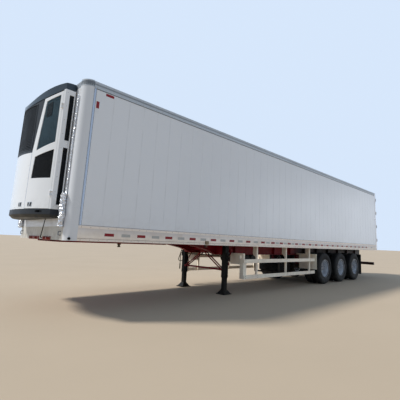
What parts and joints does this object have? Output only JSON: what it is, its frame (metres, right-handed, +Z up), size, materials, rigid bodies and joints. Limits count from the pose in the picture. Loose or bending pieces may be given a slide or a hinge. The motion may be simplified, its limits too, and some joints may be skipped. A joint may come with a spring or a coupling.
{
  "type": "refrigerated semi trailer",
  "caption": "Refrigerated van semi trailer with a bowed cooling unit on its nose, swinging rear doors, landing legs, side guards and twin-tyred axles.",
  "frame": {"origin": "on the ground under the middle of the whole trailer's box", "axes": "+X forward to the cooling unit, +Y to the trailer's left side, +Z up"},
  "size_m": [14.489, 2.594, 3.92],
  "materials": {
    "panel_white": "smooth white panel skin, satin gloss",
    "rail_grey": "drawn aluminium, lightly weathered",
    "sill_grey": "pale grey paint",
    "deck_metal": "ribbed bare aluminium",
    "stainless": "brushed stainless steel",
    "frame_red": "dark red chassis paint, satin",
    "member_grey": "zinc grey paint",
    "leg_black": "black paint, satin",
    "shaft_olive": "oiled steel, olive brown",
    "guard_white": "cream white paint",
    "tyre": "black tyre rubber",
    "rim_silver": "silver paint, satin",
    "axle_black": "black paint, dusty",
    "unit_white": "white moulded panel, gloss",
    "unit_slate": "dark slate moulded cap, gloss",
    "unit_grey": "charcoal moulded base",
    "grille_black": "black louvred grille",
    "engine_grey": "grey castings",
    "flap_black": "black rubber sheet",
    "conduit_silver": "crinkled foil wrap",
    "plate_red": "red painted plate and couplings",
    "lamp_black": "black lamp housing"
  },
  "bodies": {
    "trailer": {"air_tanks": "axle_black", "axles": "axle_black", "bottom_rails": "rail_grey", "conduits": "conduit_silver", "corner_caps": "rail_grey", "corner_posts": "panel_white", "coupler_plate": "frame_red", "couplings": "plate_red", "cross_members": "member_grey", "deck": "deck_metal", "drain_pipe": "lamp_black", "front_sill": "sill_grey", "kingpin": "shaft_olive", "lamps": "lamp_black", "landing_legs": "leg_black", "leg_braces": "frame_red", "leg_shaft": "shaft_olive", "main_beams": "frame_red", "mud_flaps": "flap_black", "neck_beams": "frame_red", "rear_bar": "frame_red", "rear_frame": "stainless", "roof": "panel_white", "side_guards": "guard_white", "spare_carrier": "axle_black", "spare_rim": "rim_silver", "spare_tyre": "tyre", "splash_plates": "guard_white", "spring_hangers": "frame_red", "springs": "axle_black", "top_rails": "rail_grey", "unit_back": "unit_grey", "unit_base": "unit_grey", "unit_cap": "unit_slate", "unit_engine": "engine_grey", "unit_front_grille": "unit_grey", "unit_panels": "unit_white", "unit_side_vents": "grille_black", "walls": "panel_white"},
    "rear_door_left": {"door_left": "panel_white", "door_fittings_left": "stainless"},
    "rear_door_right": {"door_right": "panel_white", "door_fittings_right": "stainless"},
    "unit_service_door_left": {"unit_door_left": "unit_white", "unit_door_grilles_left": "grille_black"},
    "unit_service_door_right": {"unit_door_right": "unit_white", "unit_door_grilles_right": "grille_black"},
    "wheels_1_left": {"tyres_1_left": "tyre", "rims_1_left": "rim_silver"},
    "wheels_1_right": {"tyres_1_right": "tyre", "rims_1_right": "rim_silver"},
    "wheels_2_left": {"tyres_2_left": "tyre", "rims_2_left": "rim_silver"},
    "wheels_2_right": {"tyres_2_right": "tyre", "rims_2_right": "rim_silver"},
    "wheels_3_left": {"tyres_3_left": "tyre", "rims_3_left": "rim_silver"},
    "wheels_3_right": {"tyres_3_right": "tyre", "rims_3_right": "rim_silver"}
  },
  "joints": [
    {"name": "rear_door_left_swing", "type": "hinge", "parent": "trailer", "child": "rear_door_left", "pos_m": [-7.2345, 1.287, 2.63], "axis": [0, 0, -1], "range_deg": [0, 270]},
    {"name": "rear_door_right_swing", "type": "hinge", "parent": "trailer", "child": "rear_door_right", "pos_m": [-7.2345, -1.287, 2.63], "axis": [0, 0, 1], "range_deg": [0, 270]},
    {"name": "unit_door_left_swing", "type": "hinge", "parent": "trailer", "child": "unit_service_door_left", "pos_m": [6.98584, 0.9305, 2.7], "axis": [0, 0, 1], "range_deg": [0, 110]},
    {"name": "unit_door_right_swing", "type": "hinge", "parent": "trailer", "child": "unit_service_door_right", "pos_m": [6.98584, -0.9305, 2.7], "axis": [0, 0, -1], "range_deg": [0, 110]},
    {"name": "wheels_1_left_turn", "type": "hinge", "parent": "trailer", "child": "wheels_1_left", "pos_m": [-1.9725, 0.942, 0.525], "axis": [0, 1, 0], "continuous": true},
    {"name": "wheels_1_right_turn", "type": "hinge", "parent": "trailer", "child": "wheels_1_right", "pos_m": [-1.9725, -0.942, 0.525], "axis": [0, 1, 0], "continuous": true},
    {"name": "wheels_2_left_turn", "type": "hinge", "parent": "trailer", "child": "wheels_2_left", "pos_m": [-3.2825, 0.942, 0.525], "axis": [0, 1, 0], "continuous": true},
    {"name": "wheels_2_right_turn", "type": "hinge", "parent": "trailer", "child": "wheels_2_right", "pos_m": [-3.2825, -0.942, 0.525], "axis": [0, 1, 0], "continuous": true},
    {"name": "wheels_3_left_turn", "type": "hinge", "parent": "trailer", "child": "wheels_3_left", "pos_m": [-4.5925, 0.942, 0.525], "axis": [0, 1, 0], "continuous": true},
    {"name": "wheels_3_right_turn", "type": "hinge", "parent": "trailer", "child": "wheels_3_right", "pos_m": [-4.5925, -0.942, 0.525], "axis": [0, 1, 0], "continuous": true}
  ]
}
